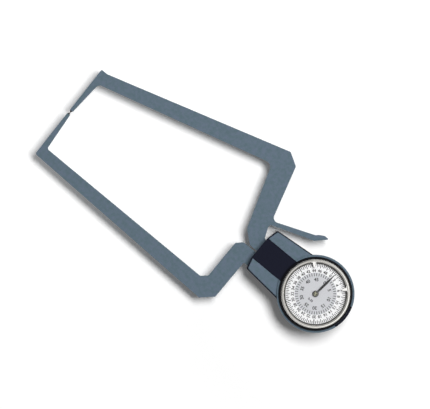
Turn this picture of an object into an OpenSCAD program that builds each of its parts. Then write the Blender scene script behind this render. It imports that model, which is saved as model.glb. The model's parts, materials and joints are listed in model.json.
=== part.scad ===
// Dial thickness gauge with two long arms, closed by a spring and opened with a thumb lever.
// The dial axis is the Z axis, the back face lies at Z = 0 and the contacts lie towards +X.

/* [Case] */
// Outer diameter of the collar round the dial
collar_d = 58; // [57:0.5:62]
// Width of the raised collar
collar_w = 1.5; // [1.2:0.1:1.8]
// Width of the neck behind its rounded front corners
neck_w = 37; // [36:0.5:39]
// Angle at which each side of the neck flares towards the dial
neck_flare = 5.1; // [4:0.1:6]
// Distance from the pivot to the front of the case
pivot_to_front = 6.2; // [5.8:0.1:7]
// Width of the black band that runs along the case
band_w = 18.4; // [17:0.2:20]
// Wall thickness of the case
wall = 2; // [1.6:0.1:2.2]
// Thickness of the case floor
floor_t = 2.2; // [1.8:0.1:2.4]
// Thickness of the roof of the front shell
roof_t = 1.6; // [1.4:0.1:2]
// Thickness of the inlaid side cheeks
cheek_t = 2; // [1.6:0.1:2.4]
// Height of the collar above the cheeks
collar_rise = 1.2; // [0.8:0.1:1.6]
// Width of the black rim left round the cheeks
rim_w = 0.7; // [0.6:0.1:1.1]
// Diameter of the case screws
case_screw_d = 2.5; // [2:0.1:2.6]

/* [Arms] */
// Thickness of both arms
arm_t = 5; // [4.6:0.1:5.6]
// Height of the underside of the arms above the back face
arm_lift = 6; // [5.8:0.1:6.6]
// Distance from the front of the case to the contacts
reach = 173.1; // [150:1:190]
// Sideways offset of the contacts from the dial axis
contact_y = 12.3; // [11.5:0.1:13]
// Sideways reach of the fixed arm's outer edge at its elbow
fixed_elbow_y = 57.4; // [54:0.2:62]
// Width of the fixed arm at its elbow
fixed_arm_w = 13; // [11:0.2:14]
// Width of the fixed arm's neck
fixed_neck_w = 14.2; // [13:0.2:16]
// Sideways reach of the movable arm's outer edge at its elbow
movable_elbow_y = 69.7; // [66:0.2:74]
// Width of the movable arm at its elbow, measured sideways
movable_arm_w = 14; // [12:0.2:15]
// Width of both arms just behind the tips
arm_end_w = 9; // [8:0.2:10]
// Width of each tip at its end
tip_w = 2.6; // [2.4:0.1:3.2]
// Length of each contact point
contact_len = 1.7; // [1.4:0.1:1.9]
// Diameter of each contact's shank
contact_shank_d = 1.5; // [1.2:0.1:1.6]
// Gap between the contacts at rest
contact_gap = 0.2; // [0.1:0.05:0.4]

/* [Pivot] */
// Diameter of the pivot pin
pivot_d = 6; // [5:0.1:6.4]
// Radius of the movable arm's hub
hub_r = 7; // [6.6:0.1:7.2]
// Thickness of the thrust washers
washer_t = 0.55; // [0.4:0.05:0.6]
// Diameter of the screws that hold the fixed arm
arm_screw_d = 3; // [2.5:0.1:3]
// Diameter of the fixed arm's dowels
dowel_d = 2; // [1.6:0.1:2.4]

/* [Movement] */
// Module of the sector and of the intermediate pinion
sector_module = 0.5; // [0.48:0.01:0.52]
// Teeth that the sector would have on a full circle
sector_teeth = 120; // [118:1:122]
// Teeth of the intermediate pinion
first_pinion_teeth = 16; // [16:1:17]
// Module of the intermediate wheel and of the centre pinion
wheel_module = 0.4; // [0.38:0.01:0.42]
// Teeth of the intermediate wheel
wheel_teeth = 51; // [49:2:53]
// Teeth of the centre pinion
centre_pinion_teeth = 17; // [17:1:18]
// Thickness of the sector
sector_t = 1.6; // [1.2:0.1:1.8]
// Thickness of the intermediate wheel
wheel_t = 1.6; // [1.2:0.1:1.8]
// Thickness of the movable arm's tail under the sector
tail_t = 2.2; // [1.8:0.1:2.4]
// Thickness of both movement plates
plate_t = 1.6; // [1.2:0.1:1.6]
// Diameter of both arbors in their bushes
arbor_d = 2; // [1.6:0.1:2.2]

/* [Dial] */
// Width of the black rim of the bezel seen from above
bezel_rim_w = 1.3; // [1:0.1:1.6]
// Width of the bright trim ring seen from above
trim_w = 2.4; // [2.2:0.1:2.8]
// Thickness of the dial face
dial_t = 0.6; // [0.4:0.1:0.8]
// Height of the dark ring between dial and crystal
spacer_h = 1.4; // [1.3:0.1:2]
// Width of that dark ring seen inside the trim ring
spacer_show = 1; // [0.4:0.1:1.1]
// Thickness of the crystal
crystal_t = 1; // [0.8:0.1:1.4]
// Length of the pointer from its axis
pointer_len = 20.8; // [18:0.2:21.4]
// Angle of the pointer past zero at rest, clockwise
pointer_rest = 6.2; // [0:0.2:20]
// Length of the limit markers towards the dial axis
marker_len = 4.2; // [3:0.2:5]
// Angle of each limit marker from zero
marker_angle = 42; // [30:1:60]

/* [Hidden] */
$fn = 96;

// Small overlap that joins solids of one piece
join = 0.2;
// Running clearance of pins and arbors in their bushes, on the radius
run_clear = 0.02;
// Clearance between moving pieces that aren't a fit
free_clear = 0.3;
// Play between meshing teeth
tooth_play = 0.12;

// Gear train: the pivot lies two centre distances from the dial axis
first_centre = sector_module * (sector_teeth + first_pinion_teeth) / 2;
second_centre = wheel_module * (wheel_teeth + centre_pinion_teeth) / 2;
intermediate_x = second_centre;
pivot_x = first_centre + second_centre;
sector_r = sector_module * sector_teeth / 2;
front_x = pivot_x + pivot_to_front;
contact_x = front_x + reach;

// Heights, from the back face up
arm_top = arm_lift + arm_t;
arm_mid = arm_lift + arm_t / 2;
slot_z = arm_lift - 0.6;
split_z = arm_top + 1;
roof_z = split_z + 1.4;
roof_top = roof_z + roof_t;
cheek_top = roof_top + cheek_t;
collar_top = cheek_top + collar_rise;
spigot_top = roof_top + 1.9;
dial_z = spigot_top + free_clear;
dial_top = dial_z + dial_t;
gasket_z = dial_top + spacer_h;
gasket_t = 0.2;
crystal_z = gasket_z + gasket_t;
crystal_top = crystal_z + crystal_t;
trim_seat = crystal_top - 0.6;
trim_top = crystal_top + 1.3;
bezel_top = crystal_top + 0.2;
bezel_z = roof_top + 0.15;
plate_seat = 1;
lower_plate_z = floor_t + plate_seat;
lower_plate_top = lower_plate_z + plate_t;
upper_plate_z = roof_z;
sector_z = arm_lift + tail_t;
wheel_z = sector_z + sector_t + 1;
collet_z = lower_plate_top + 1.2;
hairspring_h = 0.8;
pointer_z = dial_top + 0.65;
pointer_t = 0.3;

// Radii about the dial axis
collar_r = collar_d / 2;
lever_relief = 1.1;
round_r = collar_r - lever_relief;
bezel_r = collar_r - collar_w - free_clear;
trim_r = bezel_r - bezel_rim_w;
trim_in_r = trim_r - trim_w;
spacer_in_r = trim_in_r - spacer_show;
crystal_r = trim_r - 0.9;
bezel_bore_r = crystal_r - 0.45;
spigot_r = bezel_bore_r - 0.05;
spigot_in_r = spigot_r - 2.1;
plate_r = spigot_in_r - 2.6;

// Neck of the case
neck_half = neck_w / 2;
corner_x = front_x - 4.5;
band_half = band_w / 2;
function side_y(x) = neck_half + (corner_x - x) * tan(neck_flare);

// Pivot and tail
pivot_r = pivot_d / 2;
bush_r = pivot_r + 1.5;
pivot_boss_r = pivot_r + 2.5;
tail_half = 5;
tail_len = 16.1;
full_swing = 16;
stop_r = 1.5;
stop_reach = 14.5;

// Case screws: two in the neck beside the sector and two behind the movement
boss_r = case_screw_d / 2 + 1.4;
neck_boss_back = 16.6;
neck_boss_x = pivot_x - neck_boss_back;
neck_boss_y = side_y(neck_boss_x) - wall - boss_r + 0.6;
rear_boss_r = round_r - wall - boss_r + 0.4;
rear_boss_angle = 16;
case_screw_spots = [
    for (side = [-1, 1]) [neck_boss_x, side * neck_boss_y],
    for (side = [-1, 1]) rear_boss_r * [-cos(rear_boss_angle), side * sin(rear_boss_angle)]];
case_screw_head_r = case_screw_d / 2 + 1.1;
case_screw_head_h = 1.4;
case_screw_slot_w = 0.6;
case_screw_slot_h = 0.7;

// Fixed arm's tongue inside the case
tongue_clear = 0.5;
tongue_out_y = neck_half - wall - 0.5;
tongue_back_x = pivot_x - 9.2;
tongue_low_y = contact_y - 7.8;
tongue_screw_y = (hub_r + tongue_out_y) / 2 + 0.7;
tongue_screw_spots = [[tongue_back_x + 2.5, tongue_screw_y], [front_x - wall - 4.4, tongue_screw_y]];
dowel_spot = (tongue_screw_spots[0] + tongue_screw_spots[1]) / 2;
arm_screw_head_h = 1.6;

// Movable arm's tip: how far it lies behind the contacts, and how it widens into the arm
movable_end_y = 27.3;
tip_back = 3.2;
tip_flare = 1;
tip_heel = 0.8;
tip_fillet = 3.5;

// Movable arm's elbow and neck, measured from the pivot
elbow_reach = 33.8;
elbow_cut_x = 10;
elbow_cut_y = 5.9;
elbow_in_x = 5.2;
elbow_in_y = 1.5;
elbow_fillet = 5;
arm_neck_x = 22.6;
arm_neck_y = 5;
arm_fillet = 6;
hub_edge_x = 13;
hub_edge_back = 5;
hub_edge_gap = 1.3;
shoulder_back = 2.6;
shoulder_sink = 0.5;
shoulder_x = 7.7;
shoulder_y = 7.8;

// Thumb lever, measured from the pivot: root, bend, pad, pointed end and the step on its outer edge
lever_root_x = 11.8;
lever_root_y = 17.8;
lever_root_w = 3.4;
lever_bend_x = 14.6;
lever_bend_y = 27.3;
lever_pad_x = 22;
lever_pad_y = 29.8;
lever_end_x = 30;
lever_end_y = 37.7;
lever_tip_x = 25.6;
lever_tip_y = 37.6;
lever_step_x = 20.2;
lever_step_y = 33.7;
lever_step = 1.9;
lever_fillet = 3.8;
lever_round = 0.6;
edge_round = 2;
corner_round = 1;

// Pillars that carry the movement plates
pillar_r = 2.2;
pillar_stud_r = 1;
pillar_spots = [for (angle = [66, 121, -121, -66]) (plate_r - pillar_r - 0.1) * [cos(angle), sin(angle)]];

// Return spring between its post on the floor and its pin under the tail
spring_pin_r = 0.8;
spring_z = floor_t + 2;
spring_wire_r = 0.25;
spring_coil_r = 1.5;
spring_turns = 8;
spring_pin_spot = [pivot_x - 13.1, -3.2];
spring_post_spot = [pivot_x - 8.6, -neck_half + wall + 2.6];

// Arbors and their bushes
arbor_r = arbor_d / 2;
arbor_body_r = arbor_r + 0.4;
arbor_bush_r = arbor_r + 1;
arbor_end_play = 0.2;

// Limit markers in their groove
groove_z = crystal_top + 0.25;
groove_h = 0.6;
groove_r = trim_in_r + 0.8;
lip_r = trim_in_r + 0.4;
marker_z = groove_z + 0.1;
marker_t = 0.4;
marker_shoe_angle = 5;

function polar(r, angle) = r * [cos(angle), sin(angle)];
function unit(v) = v / norm(v);
function flat(p) = [p[0], p[1]];

// Points of a corner at b between a and c, rounded with radius r
function corner(a, b, c, r) = r == 0 ? [b] :
    let (u = unit(a - b), v = unit(c - b), half = acos(u * v) / 2,
        centre = b + unit(u + v) * r / sin(half),
        start = b + u * r / tan(half) - centre,
        finish = b + v * r / tan(half) - centre,
        from = atan2(start[1], start[0]),
        sweep = (atan2(finish[1], finish[0]) - from + 540) % 360 - 180,
        steps = ceil(abs(sweep) / 10))
    [for (i = [0:steps]) centre + polar(r, from + sweep * i / steps)];

// Outline through points [x, y, corner radius]
function rounded(points) = let (n = len(points))
    [for (i = [0:n - 1]) each corner(flat(points[(i + n - 1) % n]), flat(points[i]),
        flat(points[(i + 1) % n]), points[i][2])];

// Half angle of a tooth at radius rho, on an involute of 20 degrees
function roll(angle) = tan(angle) * 180 / PI - angle;
function tooth_half(rho, teeth, modul) = let (r = modul * teeth / 2, base = r * cos(20))
    90 / teeth - tooth_play / r * 90 / PI + roll(20) - roll(rho > base ? acos(base / rho) : 0);
function tooth(angle, teeth, modul) = let (r = modul * teeth / 2, steps = 4,
        root = r - 1.25 * modul, tip = r + 0.95 * modul,
        radii = [for (i = [0:steps]) root + (tip - root) * i / steps])
    concat([for (rho = radii) polar(rho, angle - tooth_half(rho, teeth, modul))],
        [for (i = [steps:-1:0]) polar(radii[i], angle + tooth_half(radii[i], teeth, modul))]);
function gear(teeth, modul, phase) =
    [for (k = [0:teeth - 1]) each tooth(phase + k * 360 / teeth, teeth, modul)];

module tube(outer, inner, height) {
    difference() {
        cylinder(r = outer, h = height);
        translate([0, 0, -join]) cylinder(r = inner, h = height + 2 * join);
    }
}

module plate(points, z, height) {
    translate([0, 0, z]) linear_extrude(height) polygon(points);
}

module at_pivot() {
    translate([pivot_x, 0, 0]) children();
}

module at_intermediate() {
    translate([intermediate_x, 0, 0]) children();
}

module at_spots(spots, z = 0) {
    for (spot = spots) translate([spot[0], spot[1], z]) children();
}

// Outline of the neck, drawn in by inset, from inside the round part to the front
function neck_outline(inset) = let (half = band_half - inset / 3, x = front_x - inset)
    rounded([[0, side_y(0) - inset, 0], [corner_x - 2, side_y(corner_x - 2) - inset, 0],
        [front_x - 2.2 - inset, neck_half - 0.3 - inset, 1.2], [x, half, 1],
        [x, -half, 1], [front_x - 2.2 - inset, -neck_half + 0.3 + inset, 1.2],
        [corner_x - 2, -side_y(corner_x - 2) + inset, 0], [0, -side_y(0) + inset, 0]]);

module case_block(radius, inset, z, height) {
    translate([0, 0, z]) cylinder(r = radius - inset, h = height);
    plate(neck_outline(inset), z, height);
}

module rear_case() {
    color("#1b1c22") difference() {
        union() {
            difference() {
                case_block(round_r, 0, 0, split_z);
                case_block(round_r, wall, floor_t, split_z);
            }
            at_spots(case_screw_spots) cylinder(r = boss_r, h = split_z);
            at_spots(pillar_spots) cylinder(r = pillar_r, h = lower_plate_z);
            at_pivot() cylinder(r = pivot_boss_r, h = slot_z);
            tongue_pad();
        }
        arm_slot();
        at_pivot() translate([0, 0, floor_t / 2]) cylinder(r = pivot_r, h = split_z);
        at_spots(case_screw_spots, -join) cylinder(d = case_screw_d + 0.2, h = split_z + 2 * join);
        at_spots(case_screw_spots, -join) cylinder(r = case_screw_head_r + 0.1, h = case_screw_head_h + join);
        at_spots(pillar_spots, floor_t / 2) cylinder(r = pillar_stud_r, h = split_z);
        at_spots(tongue_screw_spots, floor_t / 2) cylinder(d = arm_screw_d, h = split_z);
        at_spots([dowel_spot, spring_post_spot], floor_t / 2) cylinder(d = dowel_d, h = split_z);
        translate([stop_spot[0], stop_spot[1], floor_t / 2]) cylinder(r = stop_r, h = split_z);
    }
}

// Pad inside the case that the fixed arm's tongue is screwed to
module tongue_pad() {
    pad_low = tongue_screw_y - 2.8;
    intersection() {
        translate([tongue_back_x, pad_low, 0])
            cube([front_x - wall - tongue_back_x + join, side_y(tongue_back_x) - pad_low, arm_lift]);
        case_block(round_r, wall - join, 0, arm_lift);
    }
}

// Opening in the front wall that both arms pass through
module arm_slot() {
    plate([[corner_x - 0.6, tongue_out_y + tongue_clear], [front_x + 1, tongue_out_y + tongue_clear],
        [front_x + 1, -neck_half - 1], [corner_x + 0.6, -neck_half + wall - 0.6],
        [corner_x - 2.6, -neck_half + wall]], slot_z, split_z);
}

// The stop pin stands where the tail's edge lies at full swing
stop_spot = [pivot_x, 0]
    + stop_reach * [-cos(full_swing), sin(full_swing)]
    + (tail_half + stop_r + free_clear) * [sin(full_swing), cos(full_swing)];

module front_shell() {
    color("#16171d") difference() {
        union() {
            difference() {
                union() {
                    case_block(collar_r, 0, split_z, roof_top - split_z);
                    rim();
                    band();
                }
                case_block(collar_r, wall, split_z - join, roof_z - split_z + join);
                translate([0, 0, split_z]) cylinder(r = spigot_in_r, h = trim_top);
            }
            translate([0, 0, roof_z]) tube(spigot_r, spigot_in_r, spigot_top - roof_z);
            at_spots(case_screw_spots, split_z) cylinder(r = boss_r, h = roof_z - split_z + join);
            at_pivot() translate([0, 0, arm_top + washer_t + 0.05])
                cylinder(r = pivot_boss_r, h = roof_z - arm_top - washer_t);
        }
        at_pivot() cylinder(r = pivot_r, h = roof_top - 0.8);
        at_spots(case_screw_spots) cylinder(d = case_screw_d, h = roof_top - 0.6);
        snap_groove(0.1);
    }
}

// Rim round the neck that frames the cheeks
module rim() {
    difference() {
        plate(neck_outline(0), roof_top - join, cheek_t);
        plate(neck_outline(rim_w), roof_top - 2 * join, cheek_t + 2 * join);
        cylinder(r = collar_r, h = trim_top);
    }
}

// Band between the cheeks, from the bezel to the front
module band() {
    difference() {
        intersection() {
            plate(neck_outline(0), roof_top - join, cheek_t + join);
            translate([0, -band_half, 0]) cube([front_x, band_w, trim_top]);
        }
        cylinder(r = collar_r - collar_w, h = trim_top);
    }
}

module cheek(side) {
    seam = 0.15;
    edge = band_half + seam;
    intersection() {
        difference() {
            union() {
                plate(neck_outline(rim_w + seam), roof_top, cheek_t);
                translate([0, 0, roof_top]) cylinder(r = collar_r, h = collar_top - roof_top);
            }
            cylinder(r = collar_r - collar_w, h = trim_top);
        }
        translate([-collar_r, side > 0 ? edge : -edge - neck_w, 0])
            cube([front_x + collar_r, neck_w, trim_top]);
    }
}

module cheek_fixed_side() {
    color("#65757f") cheek(1);
}

module cheek_lever_side() {
    color("#65757f") cheek(-1);
}

module case_screws() {
    color("#3a3b40") at_spots(case_screw_spots) difference() {
        union() {
            translate([0, 0, 0.1]) cylinder(r = case_screw_head_r, h = case_screw_head_h - 0.1);
            translate([0, 0, case_screw_head_h - join])
                cylinder(d = case_screw_d, h = roof_z - case_screw_head_h);
        }
        translate([-case_screw_head_r, -case_screw_slot_w / 2, -join])
            cube([2 * case_screw_head_r, case_screw_slot_w, case_screw_slot_h + join]);
    }
}

// Fixed arm: tip, long arm, neck and the tongue that enters the case
fixed_neck_x = front_x + 2;
fixed_neck_cut = 4.4;
fixed_tip_end = contact_y + contact_gap / 2 + contact_len - 0.1;
fixed_outline = rounded(concat(
    [[contact_x - tip_w / 2, fixed_tip_end, 0], [contact_x + tip_w / 2, fixed_tip_end, 0],
        [contact_x + tip_w / 2 - 1, fixed_elbow_y - 4.9, 1.6],
        [fixed_neck_x + 9.2, fixed_elbow_y, 0.8], [fixed_neck_x + 0.2, fixed_elbow_y - 8.2, 0.8],
        [fixed_neck_x, tongue_out_y, 1], [tongue_back_x, tongue_out_y, 0.8],
        [tongue_back_x, hub_r + tongue_clear + 1.9, 0.8]],
    [for (angle = [106:-8:42]) concat([pivot_x, 0] + polar(hub_r + tongue_clear, angle), 0)],
    [[pivot_x + 6.6, tongue_low_y, 0], [fixed_neck_x + fixed_neck_w - fixed_neck_cut, tongue_low_y, 0.8],
        [fixed_neck_x + fixed_neck_w, tongue_low_y + fixed_neck_cut, 0.8],
        [fixed_neck_x + fixed_neck_w, fixed_elbow_y - fixed_arm_w - 4, 0.8],
        [fixed_neck_x + fixed_neck_w + 4.5, fixed_elbow_y - fixed_arm_w, 0.8],
        [contact_x - 4.1, fixed_elbow_y - 4.9 - arm_end_w + 0.5, 1.8]]));

module fixed_arm() {
    color("#64757f") difference() {
        plate(fixed_outline, arm_lift, arm_t);
        at_spots(tongue_screw_spots) cylinder(d = arm_screw_d, h = split_z);
        translate([dowel_spot[0], dowel_spot[1], 0]) cylinder(d = dowel_d, h = split_z);
        contact_shank(fixed_tip_end, 1);
    }
}

module fixed_arm_screws() {
    color("#8d9094") at_spots(tongue_screw_spots, arm_lift - 3) {
        cylinder(d = arm_screw_d, h = arm_t + 3);
        translate([0, 0, arm_t + 3]) difference() {
            cylinder(d = 1.8 * arm_screw_d, h = arm_screw_head_h);
            translate([0, 0, arm_screw_head_h / 2])
                cylinder(d = arm_screw_d, h = arm_screw_head_h, $fn = 6);
        }
    }
}

module fixed_arm_dowels() {
    color("#a5a7aa") translate([dowel_spot[0], dowel_spot[1], floor_t / 2])
        cylinder(d = dowel_d, h = arm_top - floor_t / 2);
}

// Shank of a contact in its arm's tip, pointing away from the other contact
module contact_shank(end_y, side) {
    translate([contact_x, end_y, arm_mid]) rotate([-90 * side, 0, 0]) cylinder(d = contact_shank_d, h = 5);
}

module contact(end_y, side) {
    contact_shank(end_y, side);
    translate([contact_x, end_y, arm_mid]) rotate([90 * side, 0, 0])
        cylinder(d1 = contact_shank_d + 0.7, d2 = 0.4, h = contact_len - 0.1);
}

module fixed_contact() {
    color("#2c2d30") contact(fixed_tip_end, 1);
}

// Movable arm: tip, long arm, neck, hub, tail and thumb lever
movable_tip_end = contact_y - contact_gap / 2 - contact_len + 0.1;
elbow_x = pivot_x + elbow_reach;
hub_edge_y = tongue_low_y - hub_edge_gap;
movable_outline = rounded([
    [contact_x + tip_w / 2, movable_tip_end, 0], [contact_x - tip_w / 2, movable_tip_end, 0],
    [contact_x - tip_back, -movable_end_y + arm_end_w + tip_flare, tip_fillet],
    [elbow_x + elbow_in_x, -movable_elbow_y + movable_arm_w + elbow_in_y, elbow_fillet],
    [pivot_x + arm_neck_x, -arm_neck_y, arm_fillet], [pivot_x + hub_edge_x, hub_edge_y, lever_fillet],
    [pivot_x + hub_edge_back, hub_edge_y, 0], [pivot_x, 0, 0],
    [pivot_x + shoulder_back, -hub_r + shoulder_sink, 0], [pivot_x + shoulder_x, -shoulder_y, edge_round],
    [pivot_x + lever_root_x, -lever_root_y, edge_round],
    [pivot_x - lever_bend_x, -lever_bend_y, arm_fillet], [pivot_x - lever_pad_x, -lever_pad_y, edge_round],
    [pivot_x - lever_end_x, -lever_end_y, lever_round], [pivot_x - lever_tip_x, -lever_tip_y, lever_round],
    [pivot_x - lever_step_x - lever_step, -lever_step_y - lever_step, lever_round],
    [pivot_x - lever_step_x, -lever_step_y, lever_round],
    [pivot_x + lever_root_x, -lever_root_y - lever_root_w, lever_fillet],
    [elbow_x - elbow_cut_x, -movable_elbow_y + elbow_cut_y, corner_round],
    [elbow_x, -movable_elbow_y, corner_round],
    [contact_x - tip_back, -movable_end_y, edge_round],
    [contact_x + tip_w / 2 + tip_heel, -movable_end_y, corner_round]]);

module movable_arm() {
    color("#64757f") difference() {
        union() {
            plate(movable_outline, arm_lift, arm_t);
            at_pivot() translate([0, 0, arm_lift]) cylinder(r = hub_r, h = arm_t);
            translate([pivot_x - tail_len, -tail_half, arm_lift]) cube([tail_len, 2 * tail_half, tail_t]);
        }
        at_pivot() cylinder(r = bush_r, h = split_z);
        at_spots(sector_screw_spots) cylinder(r = sector_screw_r, h = split_z);
        translate([spring_pin_spot[0], spring_pin_spot[1], 0]) cylinder(r = spring_pin_r, h = sector_z);
        contact_shank(movable_tip_end, -1);
    }
}

module movable_contact() {
    color("#2c2d30") contact(movable_tip_end, -1);
}

module pivot_pin() {
    color("#b4b6b9") at_pivot() translate([0, 0, floor_t / 2])
        cylinder(r = pivot_r, h = roof_top - 0.8 - floor_t / 2);
}

module pivot_bush() {
    color("#a9814a") at_pivot() translate([0, 0, arm_lift]) tube(bush_r, pivot_r + run_clear, arm_t);
}

module pivot_washers() {
    color("#c9b27a") at_pivot() for (z = [slot_z, arm_top + 0.05])
        translate([0, 0, z]) tube(pivot_boss_r - 0.3, pivot_r, washer_t);
}

module stop_pin() {
    color("#a5a7aa") translate([stop_spot[0], stop_spot[1], floor_t / 2])
        cylinder(r = stop_r, h = sector_z - 0.2 - floor_t / 2);
}

// Sector on the tail, its teeth facing the dial axis
sector_screw_r = 1;
sector_screw_head_h = 0.8;
small_slot_w = 0.4;
sector_screw_spots = [[pivot_x - 10, 0], [pivot_x - 14, 0]];
sector_pitch = 360 / sector_teeth;
sector_first = -2;
sector_last = 8;
sector_low = (sector_first - 0.5) * sector_pitch;
sector_high = (sector_last + 0.5) * sector_pitch;
sector_rim_w = 4;
sector_web_l = 10;
sector_web_x = hub_r + sector_web_l;
sector_root_x = hub_r + 1.3;
sector_root_half = tail_half - 0.6;
sector_outline = concat(
    [polar(sector_r - 1.25 * sector_module, sector_low)],
    [for (k = [sector_first:sector_last]) each tooth(k * sector_pitch, sector_teeth, sector_module)],
    [polar(sector_r - 1.25 * sector_module, sector_high), polar(sector_r - sector_rim_w, sector_high),
        [sector_web_x, tail_half], [sector_root_x, sector_root_half], [sector_root_x, -sector_root_half],
        [sector_web_x, -sector_root_half], polar(sector_r - sector_rim_w, sector_low)]);

module sector_gear() {
    color("#c2a45a") difference() {
        at_pivot() rotate(180) plate(sector_outline, sector_z, sector_t);
        at_spots(sector_screw_spots) cylinder(r = sector_screw_r, h = split_z);
    }
}

module sector_screws() {
    color("#8d9094") at_spots(sector_screw_spots, arm_lift) {
        cylinder(r = sector_screw_r, h = tail_t + sector_t);
        translate([0, 0, tail_t + sector_t]) slotted_head(1.9 * sector_screw_r, sector_screw_head_h);
    }
}

// Head of a small screw, slotted to half its height
module slotted_head(r, height) {
    difference() {
        cylinder(r = r, h = height);
        translate([-r - join, -small_slot_w / 2, height / 2]) cube([2 * (r + join), small_slot_w, height]);
    }
}

// Directions along a path, and side directions carried along it without twist
function tangents(path) = let (last = len(path) - 1)
    [for (i = [0:last]) unit(path[min(i + 1, last)] - path[max(i - 1, 0)])];
function carried(tangent, side, i = 0) = i == len(tangent) ? [] :
    let (next = unit(side - (side * tangent[i]) * tangent[i]))
    concat([next], carried(tangent, next, i + 1));

// Wire of n sides along a path
module wire(path, r, side, n) {
    tangent = tangents(path);
    sides = carried(tangent, side);
    last = len(path) - 1;
    polyhedron(points = [for (i = [0:last], k = [0:n - 1]) let (angle = 360 * k / n)
            path[i] + r * (cos(angle) * sides[i] + sin(angle) * cross(tangent[i], sides[i]))],
        faces = concat([[for (k = [0:n - 1]) k]], [[for (k = [n - 1:-1:0]) last * n + k]],
            [for (i = [0:last - 1], k = [0:n - 1])
                let (a = i * n + k, b = i * n + (k + 1) % n) each [[a, a + n, b + n], [a, b + n, b]]]));
}

// Extension spring, a little stretched, with a round eye at each end
spring_eye_r = spring_pin_r + spring_wire_r + 0.05;
spring_run = spring_post_spot - spring_pin_spot;
spring_len = norm(spring_run);
spring_coil_x = spring_eye_r + spring_wire_r;
spring_steps = 10 * spring_turns;
spring_bend = 20;
spring_eye = [for (angle = [50:31:360]) concat(polar(spring_eye_r, angle), 0)];
spring_wound = 360 * spring_turns - 2 * spring_bend;
spring_coil = [for (i = [0:spring_steps])
    let (t = i / spring_steps, p = polar(spring_coil_r, spring_bend + spring_wound * t))
    [spring_coil_x + (spring_len - 2 * spring_coil_x) * t, p[0], p[1]]];
spring_path = concat(spring_eye, spring_coil,
    [for (p = backwards(spring_eye)) [spring_len - p[0], p[1], -p[2]]]);

module return_spring() {
    color("#9a9ca0") translate([spring_pin_spot[0], spring_pin_spot[1], spring_z])
        rotate(atan2(spring_run[1], spring_run[0])) wire(spring_path, spring_wire_r, [0, 0, 1], 6);
}

module spring_post() {
    color("#a5a7aa") translate([spring_post_spot[0], spring_post_spot[1], floor_t / 2]) {
        cylinder(d = dowel_d, h = floor_t / 2);
        cylinder(r = spring_pin_r, h = slot_z - floor_t / 2);
    }
}

module spring_pin() {
    color("#a5a7aa") translate([spring_pin_spot[0], spring_pin_spot[1], spring_z - 0.8])
        cylinder(r = spring_pin_r, h = sector_z - spring_z + 0.8);
}

// Movement plates with the holes for pillars and bushes
module movement_plate(z, pillar_hole) {
    difference() {
        translate([0, 0, z]) cylinder(r = plate_r, h = plate_t);
        at_spots(pillar_spots) cylinder(r = pillar_hole, h = trim_top);
        at_spots([[0, 0], [intermediate_x, 0]]) cylinder(r = arbor_bush_r, h = trim_top);
    }
}

module movement_lower_plate() {
    color("#cdb36b") difference() {
        movement_plate(lower_plate_z, pillar_stud_r);
        translate([stud_spot[0], stud_spot[1], 0]) cylinder(r = hairspring_stud_r, h = trim_top);
    }
}

module movement_upper_plate() {
    color("#cdb36b") movement_plate(upper_plate_z, plate_screw_r);
}

plate_screw_r = 0.8;
plate_screw_head_r = 1.8;
plate_screw_head_h = 0.9;
plate_screw_len = 3;

module plate_pillars() {
    color("#b4b6b9") at_spots(pillar_spots) difference() {
        union() {
            translate([0, 0, lower_plate_top]) cylinder(r = pillar_r, h = upper_plate_z - lower_plate_top);
            translate([0, 0, floor_t / 2]) cylinder(r = pillar_stud_r, h = lower_plate_top);
        }
        translate([0, 0, upper_plate_z - plate_screw_len])
            cylinder(r = plate_screw_r, h = plate_screw_len + join);
    }
}

module plate_screws() {
    color("#8d9094") at_spots(pillar_spots, upper_plate_z - plate_screw_len) {
        cylinder(r = plate_screw_r, h = plate_t + plate_screw_len);
        translate([0, 0, plate_t + plate_screw_len]) slotted_head(plate_screw_head_r, plate_screw_head_h);
    }
}

module arbor_bushes() {
    color("#a9814a") for (x = [0, intermediate_x], z = [lower_plate_z, upper_plate_z])
        translate([x, 0, z]) tube(arbor_bush_r, arbor_r + run_clear, plate_t);
}

// Arbor with a thicker body between the plates
module arbor(top) {
    translate([0, 0, lower_plate_z]) cylinder(r = arbor_r, h = top - lower_plate_z);
    translate([0, 0, lower_plate_top + arbor_end_play])
        cylinder(r = arbor_body_r, h = upper_plate_z - lower_plate_top - 2 * arbor_end_play);
}

module intermediate_arbor() {
    color("#b4b6b9") at_intermediate() arbor(upper_plate_z + plate_t);
}

module intermediate_pinion() {
    color("#c9cacc") at_intermediate() difference() {
        plate(gear(first_pinion_teeth, sector_module, 180 / first_pinion_teeth), sector_z - 0.8,
            wheel_z - sector_z + 0.6);
        cylinder(r = arbor_body_r, h = split_z);
    }
}

module intermediate_wheel() {
    wheel_r = wheel_module * wheel_teeth / 2;
    color("#c2a45a") at_intermediate() difference() {
        plate(gear(wheel_teeth, wheel_module, 180), wheel_z, wheel_t);
        cylinder(r = arbor_body_r, h = trim_top);
        for (angle = [30:60:330]) rotate(angle) translate([0.6 * wheel_r, 0, 0])
            cylinder(r = 0.2 * wheel_r, h = trim_top);
    }
}

module centre_arbor() {
    color("#b4b6b9") arbor(crystal_z - 0.5);
}

module centre_pinion() {
    color("#c9cacc") difference() {
        plate(gear(centre_pinion_teeth, wheel_module, 180 / centre_pinion_teeth), wheel_z - 0.4,
            wheel_t + 0.8);
        cylinder(r = arbor_body_r, h = trim_top);
    }
}

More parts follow.
